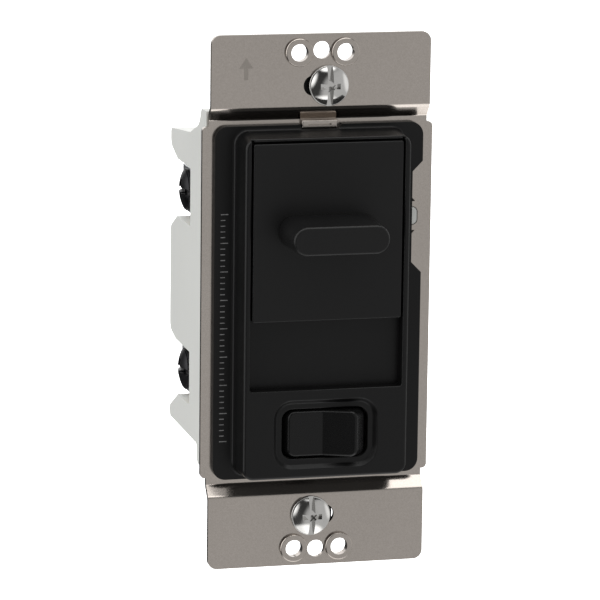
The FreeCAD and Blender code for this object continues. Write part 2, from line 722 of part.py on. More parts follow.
def slider():
    button = Piece("slider_button")
    button.pad("XZ", "button_back", "face",
               rounded("-button_half_width", "button_half_width", "button_low", "button_high", "0.4"))
    button.fillet("0.25", lying_at("Y", "face"))
    button.pad("XZ", "face", "knob_front",
               stadium("0", "knob_centre", "knob_half_length", "knob_half_height"), taper="-knob_draft")
    button.fillet("0.5", lying_at("Y", "knob_front"))
    button.pad("XZ", "button_back", "post_end",
               block("post_half_width", "knob_centre - post_half_height", "knob_centre + post_half_height"))
    button.pocket("XZ", "post_end", "post_end - 3",
                  block("0.95", "knob_centre - 1.05", "knob_centre + 1.05"))

    carriage = Piece("slider_carriage")
    carriage.pad("XZ", "floor_back + 0.2", "floor_back + 2.4",
                 block("5", "knob_centre - 5", "knob_centre + 5"))
    carriage.pocket("XZ", "floor_back", "floor_back + 3",
                    block("post_half_width", "knob_centre - post_half_height",
                          "knob_centre + post_half_height"))
    carriage.chamfer("0.5", lying_at("Y", "floor_back + 2.4", lambda spot: abs(spot.x) > 4
                                     or abs(spot.z - value("knob_centre")) > 4))

    lever = Piece("potentiometer_lever")
    lever.pad("XZ", "post_end - 2.9", "pot_front + 2.2", block("0.9", "knob_centre - 1", "knob_centre + 1"))
    lever.pad("XZ", "pot_front + 2.2", "pot_front + 4.6", block("3.6", "knob_centre - 3", "knob_centre + 3"))

    wiper = Piece("potentiometer_wiper")
    wiper.pad("XZ", "pot_front + 4.6", "pot_front + 4.9",
              block("2.8", "knob_centre - 2.5", "knob_centre + 2.5"))
    wiper.pad("XZ", "pot_front + 4.9", "board_seat - board_thick - 1.1",
              circle("-1.6", "knob_centre", "0.5"), circle("1.6", "knob_centre", "0.5"))


def potentiometer():
    board_front = "board_seat - board_thick"
    case = Piece("potentiometer_case")
    case.pad("XZ", f"{board_front} - 1", "pot_front", block("pot_half_width", "pot_low", "pot_high"))
    case.pocket("XZ", f"{board_front} - 1", "pot_front + pot_wall",
                block("pot_half_width - pot_wall", "pot_low + pot_wall", "pot_high - pot_wall"))
    case.pocket("XZ", "pot_front - 1", "pot_front + 1",
                block("1.2", "knob_centre - slider_travel - 2.5", "knob_centre + 2.5"))
    track = Piece("potentiometer_track")
    track.pad("XZ", board_front, f"{board_front} - 1", block("pot_half_width", "pot_low", "pot_high"))


def rocker():
    neutral = FreeCAD.Rotation(FreeCAD.Vector(0, 0, 1), -value("paddle_tilt"))
    turn_x = "pivot * sin(-paddle_tilt)"
    turn_y = "pivot - pivot * cos(paddle_tilt)"
    low = "rocker_centre - rocker_half_height"
    high = "rocker_centre + rocker_half_height"
    crest = "pivot - fold_depth - paddle_reach * tan(paddle_tilt)"

    def on_vee(edge):
        """Edges round the rim of the two pressing faces, but not the fold between them."""
        slope = value("tan(paddle_tilt)")
        fold = value("pivot - fold_depth")
        ends = [vertex.Point for vertex in edge.Vertexes]
        inside = all(abs(end.y - fold + slope * abs(end.x)) < 1e-3 for end in ends)
        return inside and abs(edge.CenterOfMass.x) > 1e-3

    paddle = Piece("rocker_paddle")
    paddle.pad("XY", low, high,
               polygon(("0", "pivot - fold_depth"), ("paddle_reach", crest),
                       ("paddle_shoulder", "paddle_shoulder_front"), ("paddle_end", "paddle_end_front"),
                       ("paddle_end", "paddle_back"), ("-paddle_end", "paddle_back"),
                       ("-paddle_end", "paddle_end_front"), ("-paddle_shoulder", "paddle_shoulder_front"),
                       ("-paddle_reach", crest)))
    # the corners of the two end slopes follow the rounded opening
    paddle.fillet("1.5", lambda edge: abs(edge.CenterOfMass.x) > value("paddle_reach")
                  and edge.BoundBox.ZLength < 1e-6 and edge.CenterOfMass.y < value("paddle_back - 0.1"))
    paddle.fillet("0.6", on_vee)
    paddle.fillet("0.8", straight_at(Z_AXIS, ("0", "pivot - fold_depth")))
    paddle.pad("XY", "-cavity_end + 0.4", "rib_low - 0.2", circle("0", "pivot", "trunnion_radius"))
    paddle.pad("XZ", "paddle_back - 1", "tower_end", circle("0", "rocker_centre", "tower_radius"))
    paddle.pocket("XZ", "tower_end", "paddle_back - 0.5",
                  circle("0", "rocker_centre", "plunger_radius + 0.1"))
    paddle.place(turn_x, turn_y, "0", neutral)

    plunger = Piece("rocker_plunger")
    plunger.pad("XZ", "plunger_tail", "plunger_tip", circle("0", "rocker_centre", "plunger_radius"))
    plunger.fillet("plunger_radius - 0.1", lying_at("Y", "plunger_tip"))
    plunger.place(turn_x, turn_y, "0", neutral)

    spring = Piece("plunger_spring")
    coil = "plunger_radius - spring_wire - 0.05"
    sketch = spring.sketch("YZ", "0", [circle("paddle_back - 0.5 + spring_wire + 0.05",
                                              f"rocker_centre + {coil}", "spring_wire")])
    helix = spring.body.newObject("PartDesign::AdditiveHelix", "Coil")
    helix.Profile = sketch
    axis = [feature for feature in spring.body.Origin.OriginFeatures if feature.Role == "Y_Axis"][0]
    line = spring.body.newObject("PartDesign::Line", "CoilAxis")
    line.AttachmentSupport = [(axis, "")]
    line.MapMode = "TwoPointLine"
    line.MapMode = "Deactivated"
    line.Placement = FreeCAD.Placement(FreeCAD.Vector(0, 0, value("rocker_centre")), REAR)
    helix.ReferenceAxis = (line, [""])
    helix.Mode = 0
    helix.setExpression("Pitch", "0.85")
    helix.setExpression("Height", formula("plunger_tail - paddle_back + 0.5 - 2 * spring_wire - 0.55"))
    doc.recompute()
    spring.place(turn_x, turn_y, "0", neutral)


def contacts():
    board_front = "board_seat - board_thick"
    tilted = FreeCAD.Rotation(FreeCAD.Vector(0, 0, 1), value("arm_tilt"))
    middle = "(arm_front + arm_back) / 2"
    turn_x = f"{middle} * sin(arm_tilt)"
    turn_y = f"{middle} - {middle} * cos(arm_tilt)"
    arm = Piece("contact_arm")
    arm.pad("XZ", "arm_front", "arm_back",
            block("arm_half_length", "rocker_centre - arm_half_height", "rocker_centre + arm_half_height"))
    arm.pad("XY", "rocker_centre - 3", "rocker_centre + 3", circle("0", middle, "0.65"))
    arm.place(turn_x, turn_y, "0", tilted)
    tips = Piece("moving_contact_tips")
    tips.pad("XZ", "arm_back", "arm_back + 0.5", circle("contact_at", "rocker_centre", "contact_radius"),
             circle("-contact_at", "rocker_centre", "contact_radius"))
    tips.place(turn_x, turn_y, "0", tilted)

    fulcrum = Piece("contact_fulcrum")
    fulcrum.pad("XZ", board_front, f"{board_front} - 0.6",
                block("2.2", "rocker_centre - 3.1", "rocker_centre + 3.1"))
    for end in (1, -1):
        ends = sorted([f"rocker_centre + {end} * 2.4", f"rocker_centre + {end} * 3.1"], key=value)
        fulcrum.pad("XZ", f"{board_front} - 0.6", f"{middle} - 1.3", block("1.6", *ends))
        fulcrum.pocket("XY", *ends, circle("0", middle, "0.65 + running_gap"))
    for side, name in ((-1, "left"), (1, "right")):
        fixed = Piece(f"fixed_contact_{name}")
        ends = sorted([f"{side} * (contact_at - 2.4)", f"{side} * (contact_at + 4)"], key=value)
        outline = rectangle(*ends,
                            "rocker_centre - 2.4", "rocker_centre + 2.4")
        fixed.pad("XZ", board_front, f"{board_front} - 0.85", outline)
    tips = Piece("fixed_contact_tips")
    tips.pad("XZ", f"{board_front} - 0.85", f"{board_front} - 1.35",
             circle("contact_at", "rocker_centre", "contact_radius"),
             circle("-contact_at", "rocker_centre", "contact_radius"))


def electronics():
    board_front = "board_seat - board_thick"
    board = Piece("circuit_board")
    board.pad("XZ", "board_seat", board_front,
              block("board_half_width", "board_low", "board_high"))
    board.pocket("XZ", "board_seat + 1", f"{board_front} - 1",
                 *[circle(f"{side} * assembly_x", f"{end} * assembly_z", "assembly_radius + 0.2")
                   for side in (1, -1) for end in (1, -1)])

    back = "plate_front + sheet"
    pad = Piece("insulator_pad")
    pad.pad("XZ", back, f"{back} + 0.3",
            rectangle("triac_x - 5.6", "triac_x + 5.6", "triac_low - 0.8", "triac_high + 0.8"))
    pad.pocket("XZ", f"{back} - 1", f"{back} + 1", circle("triac_x", "triac_high - rivet_drop", "rivet_hole"))
    tab = Piece("triac_tab")
    tab.pad("XZ", f"{back} + 0.3", f"{back} + 1.6",
            rectangle("triac_x - 5", "triac_x + 5", "triac_low", "triac_high"))
    tab.pocket("XZ", back, f"{back} + 3", circle("triac_x", "triac_high - rivet_drop", "1.85"))
    package = Piece("triac_package")
    package.pad("XZ", f"{back} + 1.6", f"{back} + 4.6",
                rectangle("triac_x - 5", "triac_x + 5", "triac_low", "triac_high - 6.2"))
    package.chamfer("0.5", lying_at("Y", f"{back} + 4.6"))
    leads = Piece("triac_leads")
    for step in (-1, 0, 1):
        leads.pad("XZ", f"{back} + 2.6", f"{back} + 3.1",
                  rectangle(f"triac_x + {step} * 2.54 - 0.4", f"triac_x + {step} * 2.54 + 0.4",
                            "triac_low - 2.5", "triac_low"))
        leads.pad("XZ", f"{back} + 3.1", board_front,
                  rectangle(f"triac_x + {step} * 2.54 - 0.4", f"triac_x + {step} * 2.54 + 0.4",
                            "triac_low - 2.5", "triac_low - 2"))
    rivet = Piece("triac_rivet")
    rivet.pad("XZ", "plate_front - 0.8", "plate_front",
              circle("triac_x", "triac_high - rivet_drop", "rivet_head"))
    rivet.pad("XZ", "plate_front", f"{back} + 1.6",
              circle("triac_x", "triac_high - rivet_drop", "rivet_shank"))
    rivet.pad("XZ", f"{back} + 1.6", f"{back} + 2.4",
              circle("triac_x", "triac_high - rivet_drop", "rivet_head"))
    rivet.fillet("0.5", lambda edge: edge.CenterOfMass.y < value("plate_front - 0.7")
                 or edge.CenterOfMass.y > value(f"{back} + 2.3"))

    capacitor = Piece("film_capacitor")
    capacitor.pad("XZ", "board_seat", "board_seat + 12", rectangle("1", "10", "-19", "-3"))
    capacitor.fillet("0.8", lying_at("Y", "board_seat + 12"))
    timing = Piece("timing_capacitor")
    timing.pad("XZ", "board_seat", "board_seat + 8", rectangle("-12.6", "-8.2", "-20", "-9"))
    timing.fillet("0.6", lying_at("Y", "board_seat + 8"))
    resistors = Piece("resistors")
    resistors.pad("XY", "-7", "0.5", circle("-11.6", "board_seat + 1.5", "1.2"),
                  circle("-7.6", "board_seat + 1.5", "1.2"))
    resistors.fillet("0.5", lambda edge: edge.Curve.TypeId == "Part::GeomCircle")
    diodes = Piece("signal_diodes")
    diodes.pad("XY", "-19", "-14.5", circle("-4.5", "board_seat + 1.2", "0.95"),
               circle("-1", "board_seat + 1.2", "0.95"))
    diodes.fillet("0.3", lambda edge: edge.Curve.TypeId == "Part::GeomCircle")


def choke():
    """A ring core with its winding: the winding is a sleeve about most of the ring."""
    for label, inner, outer, sweep in (("choke_core", None, "choke_core_radius", 360),
                                       ("choke_winding", "choke_core_radius + running_gap", "choke_sleeve", 320)):
        ring = doc.addObject("Part::Torus", label + "_ring")
        ring.setExpression("Radius1", formula("choke_ring"))
        ring.setExpression("Radius2", formula(outer))
        ring.Angle3 = sweep
        result = ring
        if inner:
            bore = doc.addObject("Part::Torus", label + "_bore")
            bore.setExpression("Radius1", formula("choke_ring"))
            bore.setExpression("Radius2", formula(inner))
            result = doc.addObject("Part::Cut", label + "_cut")
            result.Base = ring
            result.Tool = bore
        result.Label = label
        result.Placement = FreeCAD.Placement(FreeCAD.Vector(-2.5, 0, value("choke_height")), REAR)
        result.setExpression("Placement.Base.y", formula("board_seat + 4.6"))
        pieces.append(result)
    doc.recompute()


def screw(label, head, rim, dome, shank, length, slot, neck=None):
    """A domed screw along its own Z, with the underside of its head at 0 and a combined recess."""
    piece = Piece(label)
    step = f"({rim}) * 1.4"
    face = f"({head}) * 0.94"
    piece.pad("XY", "0", rim, circle("0", "0", head))
    piece.pad("XY", rim, step, circle("0", "0", face))
    piece.turn(cap(step, face, dome))
    piece.fillet("0.12", lambda edge: abs(edge.BoundBox.ZMin - value(rim)) < 1e-6
                 and abs(edge.BoundBox.XMax - value(head)) < 1e-3)
    start = "0"
    if neck:
        radius, reach = neck
        piece.pad("XY", f"-({reach})", "0", circle("0", "0", radius))
        start = f"-({reach})"
    piece.pad("XY", f"-({length})", start, circle("0", "0", shank))
    piece.chamfer("0.5", lying_at("Z", f"-({length})"))
    top = f"{step} + {dome} + 0.5"
    half = f"({slot}) / 2"
    piece.pocket("XY", top, f"({rim}) * 0.85", rectangle(f"-({head}) - 1", f"({head}) + 1", f"-{half}", half))
    # a square recess stands on its corner in the middle, with a tapering wing on each side of the slot
    corner = f"({slot}) * 1.15"
    wing = f"({head}) * 0.5"
    piece.pocket("XY", top, f"({rim}) * 0.4", polygon((f"-{corner}", "0"), ("0", f"-{corner}"),
                                                      (corner, "0"), ("0", corner)))
    piece.pocket("XY", top, f"({rim}) * 0.85",
                 polygon((f"-{half}", f"-{wing}"), (half, f"-{wing}"), (f"{half} * 0.7", "0"),
                         (half, wing), (f"-{half}", wing), (f"-{half} * 0.7", "0")))
    return piece


def terminal_sets():
    for name, (side, height) in terminals().items():
        wall = f"{side} * bay_wall"
        plate_out = f"{side} * (bay_wall + terminal_plate)"
        plate = Piece(f"terminal_plate_{name}")
        plate.pad("YZ", wall, plate_out,
                  rectangle("bay_front + 1.6", "29.4", f"{height} - 4.4", f"{height} + 4.4"))
        plate.pad("YZ", wall, f"{side} * (rear_cavity_half - 2)",
                  rectangle("bay_front + 1.6", "bay_front + 2.4", f"{height} - 2", f"{height} + 2"))
        plate.pad("XZ", "bay_front + 2.4", "board_seat",
                  rectangle(*sorted([f"{side} * (rear_cavity_half - 2)", f"{side} * (rear_cavity_half - 1.2)"],
                                    key=value), f"{height} - 2", f"{height} + 2"))
        plate.pocket("YZ", f"{side} * (bay_wall - 1)", f"{side} * (bay_wall + 2)",
                     circle("terminal_depth", height, "thread_radius + running_gap"))
        clamp = Piece(f"terminal_clamp_{name}")
        clamp.pad("YZ", f"{side} * (terminal_seat - clamp_thick)", f"{side} * terminal_seat",
                  rectangle("terminal_depth - 4.6", "terminal_depth + 4.6", f"{height} - 4.3", f"{height} + 4.3"))
        clamp.pocket("YZ", f"{side} * (terminal_seat - 2)", f"{side} * (terminal_seat + 1)",
                     circle("terminal_depth", height, "thread_radius + 0.1"))
        head = screw(f"terminal_screw_{name}", "terminal_head_radius", "0.5", "1",
                     "thread_radius", "terminal_screw_length", "slot_width")
        outward = RIGHT if side > 0 else LEFT
        quarter = FreeCAD.Rotation(FreeCAD.Vector(0, 0, 1), 90)
        head.place(f"{side} * terminal_seat", "terminal_depth", height, outward.multiply(quarter))


def fasteners():
    for name, end, across in (("upper", 1, "1.3"), ("lower", -1, "-1.2")):
        head = screw(f"box_screw_{name}", "box_head_radius", "0.75", "1.15", "box_shank_radius",
                     "box_screw_length", "slot_width", neck=("box_neck_radius", "box_neck_length"))
        upright = FRONT.multiply(FreeCAD.Rotation(FreeCAD.Vector(0, 0, 1), 90))
        head.place(across, "-sheet", f"{end} * box_screw_spacing / 2", upright)
        keeper = Piece(f"screw_retainer_{name}")
        height = f"{end} * box_screw_spacing / 2"
        keeper.pad("XZ", "0", "0.7", rounded(f"{across} - 4.5", f"{across} + 4.5", f"{height} - 3.5",
                                             f"{height} + 3.5", "1"))
        keeper.pocket("XZ", "-1", "2", circle(across, height, "box_neck_radius + 0.1"))

    ground = screw("ground_screw", "4", "0.8", "1.1", "thread_radius", "ground_screw_length", "slot_width")
    ground.place("ground_x", "ground_depth", "ground_tab_top - sheet - 0.9", DOWN)
    clamp = Piece("ground_clamp")
    clamp.pad("XY", "ground_tab_top - sheet - 0.9", "ground_tab_top - sheet - 0.1",
              rectangle("ground_x - 4.2",
                        "ground_x + 4.2", "3", "11.2"))
    clamp.pocket("XY", "ground_tab_top - 4", "ground_tab_top",
                 circle("ground_x", "ground_depth", "thread_radius + 0.1"))

    screws = Piece("assembly_screws")
    spots = [(f"{side} * assembly_x", f"{end} * assembly_z") for side in (1, -1) for end in (1, -1)]
    screws.pad("XZ", "assembly_seat", "assembly_seat + 1.7",
               *[circle(x, z, "assembly_head") for x, z in spots])
    screws.fillet("0.9", lying_at("Y", "assembly_seat + 1.7"))
    screws.pad("XZ", "assembly_tip", "assembly_seat", *[circle(x, z, "assembly_radius") for x, z in spots])
    screws.pocket("XZ", "assembly_seat + 2", "assembly_seat + 0.8",
                  *[rectangle(f"{x} - 1.5", f"{x} + 1.5", f"{z} - 0.35", f"{z} + 0.35") for x, z in spots])
    screws.pocket("XZ", "assembly_seat + 2", "assembly_seat + 0.8",
                  *[rectangle(f"{x} - 0.35", f"{x} + 0.35", f"{z} - 1.5", f"{z} + 1.5") for x, z in spots])


def check_and_write():
    doc.recompute()
    for item in doc.Objects:
        if "Invalid" in item.State or "Error" in item.State:
            raise RuntimeError(f"{item.Label} did not compute: {item.State}")
    for piece in pieces:
        if piece.Shape.isNull() or not piece.Shape.isValid() or not piece.Shape.Solids:
            raise RuntimeError(f"{piece.Label} has no valid solid")
    os.makedirs("parts", exist_ok=True)
    for piece in pieces:
        piece.Shape.exportStep(f"parts/{piece.Label}.step")
        print(f"{piece.Label}: {len(piece.Shape.Solids)} solid(s), {piece.Shape.Volume:.1f} mm3")


mounting_strap()
bezel_frame()
rear_housing()
slider()
potentiometer()
rocker()
contacts()
electronics()
choke()
terminal_sets()
fasteners()
check_and_write()
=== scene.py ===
import json
import math

import bmesh
import bpy
from mathutils import Matrix, Vector


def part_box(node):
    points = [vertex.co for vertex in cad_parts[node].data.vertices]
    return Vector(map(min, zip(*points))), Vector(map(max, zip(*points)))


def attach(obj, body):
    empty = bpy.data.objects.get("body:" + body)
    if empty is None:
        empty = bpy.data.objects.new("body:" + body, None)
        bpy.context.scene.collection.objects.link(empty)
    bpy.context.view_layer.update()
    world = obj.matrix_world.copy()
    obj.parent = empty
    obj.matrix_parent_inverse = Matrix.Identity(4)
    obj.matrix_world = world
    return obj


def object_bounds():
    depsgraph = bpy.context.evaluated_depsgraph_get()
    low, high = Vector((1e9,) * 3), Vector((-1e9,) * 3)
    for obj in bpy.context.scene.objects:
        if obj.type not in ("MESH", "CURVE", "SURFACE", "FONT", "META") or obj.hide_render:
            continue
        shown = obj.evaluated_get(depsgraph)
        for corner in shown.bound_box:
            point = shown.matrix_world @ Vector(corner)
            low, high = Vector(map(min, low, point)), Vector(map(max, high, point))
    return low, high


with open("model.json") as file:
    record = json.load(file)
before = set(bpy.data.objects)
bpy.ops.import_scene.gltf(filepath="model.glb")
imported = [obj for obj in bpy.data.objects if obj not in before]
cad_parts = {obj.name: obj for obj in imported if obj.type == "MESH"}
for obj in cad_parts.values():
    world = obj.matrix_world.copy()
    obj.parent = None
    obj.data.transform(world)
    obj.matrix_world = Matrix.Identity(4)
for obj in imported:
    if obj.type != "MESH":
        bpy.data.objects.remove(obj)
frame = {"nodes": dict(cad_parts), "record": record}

cad_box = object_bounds()
nodes = frame["nodes"]
MM = 0.001


# ---------------------------------------------------------------- node helpers

class Shader:
    """A node material, with short calls for the nodes it is wired from."""

    def __init__(self, name, **sockets):
        self.material = bpy.data.materials.new(name)
        self.material.use_nodes = True
        self.tree = self.material.node_tree
        self.bsdf = self.tree.nodes["Principled BSDF"]
        for socket, setting in sockets.items():
            self.bsdf.inputs[socket.replace("_", " ")].default_value = setting
        self.spot = self.add("ShaderNodeTexCoord").outputs["Object"]

    def add(self, kind, **settings):
        node = self.tree.nodes.new(kind)
        for key, setting in settings.items():
            setattr(node, key, setting)
        return node

    def link(self, start, end):
        self.tree.links.new(start, end)

    def stretched(self, scale):
        mapping = self.add("ShaderNodeMapping")
        mapping.inputs["Scale"].default_value = scale
        self.link(self.spot, mapping.inputs["Vector"])
        return mapping.outputs["Vector"]

    def noise(self, scale, detail=3.0, vector=None, roughness=0.55):
        node = self.add("ShaderNodeTexNoise")
        node.inputs["Scale"].default_value = scale
        node.inputs["Detail"].default_value = detail
        node.inputs["Roughness"].default_value = roughness
        self.link(vector or self.spot, node.inputs["Vector"])
        return node.outputs["Fac"]

    def spread(self, value, low, high, into_low=0.0, into_high=1.0):
        node = self.add("ShaderNodeMapRange")
        node.inputs["From Min"].default_value = low
        node.inputs["From Max"].default_value = high
        node.inputs["To Min"].default_value = into_low
        node.inputs["To Max"].default_value = into_high
        self.link(value, node.inputs["Value"])
        return node.outputs["Result"]

    def math(self, operation, first, second):
        node = self.add("ShaderNodeMath", operation=operation)
        for socket, given in zip(node.inputs, (first, second)):
            if isinstance(given, (int, float)):
                socket.default_value = given
            else:
                self.link(given, socket)
        return node.outputs["Value"]

    def blend(self, factor, first, second):
        node = self.add("ShaderNodeMix", data_type="RGBA")
        sockets = [node.inputs[6], node.inputs[7]]
        for socket, given in zip(sockets, (first, second)):
            if isinstance(given, tuple):
                socket.default_value = (*given, 1.0)
            else:
                self.link(given, socket)
        if isinstance(factor, (int, float)):
            node.inputs[0].default_value = factor
        else:
            self.link(factor, node.inputs[0])
        return node.outputs[2]

    def colour(self, output):
        self.link(output, self.bsdf.inputs["Base Color"])

    def rough(self, output):
        self.link(output, self.bsdf.inputs["Roughness"])

    def bump(self, height, distance, after=None):
        node = self.add("ShaderNodeBump")
        node.inputs["Distance"].default_value = distance
        self.link(height, node.inputs["Height"])
        if after is not None:
            self.link(after, node.inputs["Normal"])
        self.link(node.outputs["Normal"], self.bsdf.inputs["Normal"])
        return node.outputs["Normal"]


def scaled(colour, factor):
    return tuple(channel * factor for channel in colour)


# ---------------------------------------------------------------- materials

def moulded_plastic(name, colour, rough, specular=0.25, mottle=0.12, spark=0.0025, speckle=0.05):
    """Spark-textured moulding: fine grain, slow sheen changes, faint flow marks and a little dust."""
    shader = Shader(name, Specular_IOR_Level=specular)
    slow = shader.noise(70.0, 3.0)
    flow = shader.noise(26.0, 5.0, shader.stretched((1.0, 1.0, 0.25)))
    fine = shader.noise(4800.0, 2.0)
    tone = shader.blend(shader.spread(flow, 0.3, 0.7), scaled(colour, 1 - mottle), scaled(colour, 1 + mottle))
    dust = shader.spread(shader.noise(2400.0, 1.0), 0.72, 0.80, 0.0, speckle)
    pale = tuple(0.5 * channel + 0.02 for channel in colour)
    shader.colour(shader.blend(dust, tone, pale))
    sheen = shader.math("ADD", shader.spread(fine, 0.3, 0.7, -0.04, 0.04),
                        shader.spread(slow, 0.3, 0.7, rough - 0.04, rough + 0.04))
    shader.rough(sheen)
    shader.bump(fine, spark * MM)
    return shader.material


def sheet_metal(name, colour, rough, along=(1.0, 1.0, 1.0), depth=0.0016, tint=0.05):
    """Rolled and plated sheet: fine grain, rolling streaks along one way and a little tarnish."""
    shader = Shader(name, Metallic=1.0)
    streaks = shader.noise(900.0, 3.0, shader.stretched(along), 0.6)
    grain = shader.noise(3400.0, 3.0)
    cloud = shader.noise(28.0, 4.0)
    tone = shader.blend(shader.spread(cloud, 0.3, 0.7), scaled(colour, 1 - tint), scaled(colour, 1 + tint))
    fleck = shader.blend(shader.spread(grain, 0.25, 0.75), scaled(colour, 0.84), scaled(colour, 1.14))
    shader.colour(shader.blend(0.45, tone, fleck))
    mixed = shader.math("MULTIPLY", shader.math("ADD", streaks, cloud), 0.5)
    shader.rough(shader.spread(mixed, 0.3, 0.7, rough - 0.05, rough + 0.06))
    after = shader.bump(grain, depth * MM)
    shader.bump(streaks, depth * 0.5 * MM, after=after)
    return shader.material


def plated(name, colour, rough, wear=0.5):
    """Bright plating on a turned or headed part, with fine tool marks and dull patches."""
    shader = Shader(name, Metallic=1.0)
    fine = shader.noise(2600.0, 3.0)
    slow = shader.noise(300.0, 3.0)
    shader.colour(shader.blend(shader.spread(slow, 0.3, 0.7), scaled(colour, 0.92), scaled(colour, 1.04)))
    shader.rough(shader.spread(slow, 0.3, 0.7, rough * (1 - wear / 2), rough * (1 + wear)))
    shader.bump(fine, 0.0008 * MM)
    return shader.material


MATERIALS = {
    "strap_steel": lambda: sheet_metal("satin_nickel", (0.50, 0.455, 0.415), 0.17, (0.04, 1.0, 1.0)),
    "bezel_plastic": lambda: moulded_plastic("black_bezel_plastic", (0.0036, 0.0036, 0.0037), 0.36),
    "slider_plastic": lambda: moulded_plastic("black_slider_plastic", (0.0058, 0.0058, 0.0059), 0.36),
    "rocker_plastic": lambda: moulded_plastic("black_rocker_plastic", (0.0040, 0.0040, 0.0041), 0.26,
                                              spark=0.001),
    "inner_plastic": lambda: moulded_plastic("dark_inner_plastic", (0.03, 0.03, 0.031), 0.45),
    "housing_plastic": lambda: moulded_plastic("pale_grey_housing", (0.64, 0.646, 0.622), 0.48, mottle=0.02,
                                               spark=0.004, speckle=0.2),
    "nickel": lambda: plated("bright_nickel", (0.66, 0.65, 0.63), 0.11),
    "black_screw": lambda: plated("black_oxide", (0.035, 0.035, 0.038), 0.30),
    "green_screw": lambda: plated("green_passivated", (0.06, 0.34, 0.13), 0.30),
    "brass": lambda: sheet_metal("pressed_brass", (0.78, 0.58, 0.26), 0.30),
    "copper": lambda: sheet_metal("copper_alloy", (0.74, 0.38, 0.20), 0.30),
    "silver": lambda: plated("silver_contact", (0.86, 0.85, 0.83), 0.22),
    "zinc": lambda: plated("zinc_plate", (0.62, 0.64, 0.66), 0.30),
    "spring_steel": lambda: plated("spring_wire", (0.50, 0.50, 0.51), 0.28),
    "fibre": lambda: moulded_plastic("black_fibre_washer", (0.012, 0.012, 0.012), 0.6, mottle=0.25),
    "board": lambda: moulded_plastic("green_board", (0.02, 0.14, 0.05), 0.35),
    "phenolic": lambda: moulded_plastic("phenolic_board", (0.16, 0.08, 0.04), 0.5, mottle=0.3),
    "epoxy": lambda: moulded_plastic("black_epoxy", (0.02, 0.02, 0.021), 0.45),
    "film": lambda: moulded_plastic("yellow_case", (0.62, 0.40, 0.05), 0.35),
    "resistor": lambda: moulded_plastic("resistor_lacquer", (0.55, 0.42, 0.24), 0.35),
    "glass_body": lambda: moulded_plastic("diode_glass", (0.55, 0.18, 0.08), 0.15),
    "ferrite": lambda: moulded_plastic("iron_powder_ring", (0.05, 0.05, 0.05), 0.6),
    "silicone": lambda: moulded_plastic("thermal_pad", (0.35, 0.36, 0.38), 0.7),
}


def dress_nodes():
    made = {slot: build() for slot, build in MATERIALS.items()}
    for part in frame["record"]["subparts"]:
        mesh = nodes[part["node"]].data
        mesh.materials.clear()
        mesh.materials.append(made[part["material_slot"]])
    return made


# ---------------------------------------------------------------- detail pieces

THREAD_PITCH = 0.794 * MM
THREAD_ROOT = 1.70 * MM
THREAD_CREST = 1.88 * MM
THREAD_LENGTH = 18.6 * MM
THREAD_STEPS = 28
THREAD_FLANK = 0.38
THREAD_START_HEIGHT = 0.1
THREAD_RISE = 1.2
SCREW_TIP = 0.5 * MM
EAR_FRONT = -1.0 * MM
FLANGE_FRONT = -0.2 * MM
INK_THICKNESS = 0.02 * MM
TICK_STEP = 1.1 * MM
TICKS_EACH_WAY = 20
TICKS_BETWEEN_LONG = 5
TICK_LONG = 1.45 * MM
TICK_SHORT = 0.9 * MM
TICK_INSET = 1.2 * MM
TICK_HEIGHT = 0.17 * MM
TICK_MIDDLE = -4.6 * MM


def make_piece(name, mesh, material, body):
    piece = bpy.data.objects.new(name, mesh)
    bpy.context.scene.collection.objects.link(piece)
    mesh.materials.append(material)
    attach(piece, body)


def finished(shape, name):
    bmesh.ops.recalc_face_normals(shape, faces=shape.faces)
    mesh = bpy.data.meshes.new(name)
    shape.to_mesh(mesh)
    shape.free()
    return mesh


def thin_plates(name, outlines, front):
    """Flat plates of ink thickness, each from its outline in X and Z, with backs on the plane Y = front."""
    shape = bmesh.new()
    for outline in outlines:
        corners = [shape.verts.new((x, front, z)) for x, z in outline]
        face = shape.faces.new(corners)
        grown = bmesh.ops.extrude_face_region(shape, geom=[face])["geom"]
        moved = [item for item in grown if isinstance(item, bmesh.types.BMVert)]
        bmesh.ops.translate(shape, verts=moved, vec=(0.0, -INK_THICKNESS, 0.0))
    return finished(shape, name)


def bar(x_low, x_high, z_low, z_high):
    return [(x_low, z_low), (x_high, z_low), (x_high, z_high), (x_low, z_high)]


def thread_ridge(name, axis, start, end):
    """One helical ridge round a screw's shank, closed at both ends, along Y from start to end."""
    shape = bmesh.new()
    turns = (end - start) / THREAD_PITCH
    flank = THREAD_PITCH * THREAD_FLANK
    rings = []
    for step in range(int(turns * THREAD_STEPS) + 1):
        turn = step / THREAD_STEPS
        angle = 2 * math.pi * turn
        middle = start + turn * THREAD_PITCH
        from_end = min(turn, turns - turn)
        fade = min(1.0, THREAD_START_HEIGHT + THREAD_RISE * from_end)
        crest = THREAD_ROOT + (THREAD_CREST - THREAD_ROOT) * fade
        profile = ((middle - flank, THREAD_ROOT), (middle, crest), (middle + flank, THREAD_ROOT))
        rings.append([shape.verts.new((axis.x + radius * math.cos(angle), along,
                                       axis.z + radius * math.sin(angle)))
                      for along, radius in profile])
    for before, after in zip(rings, rings[1:]):
        for side in range(3):
            beside = (side + 1) % 3
            shape.faces.new((before[side], before[beside], after[beside], after[side]))
    shape.faces.new(rings[0])
    shape.faces.new(rings[-1])
    return finished(shape, name)


def middle_of(node):
    low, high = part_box(node)
    return (low + high) / 2


def body_of(node):
    bodies = frame["record"]["behaviour"]["bodies"]
    return next(body for body, members in bodies.items() if node in members)


def pad_printed(name, colour):
    """Pad-printed ink, a little uneven in its cover."""
    shader = Shader(name, Roughness=0.5, Specular_IOR_Level=0.3)
    cover = shader.spread(shader.noise(2200.0, 2.0), 0.35, 0.65)
    shader.colour(shader.blend(cover, scaled(colour, 0.72), scaled(colour, 1.1)))
    return shader.material


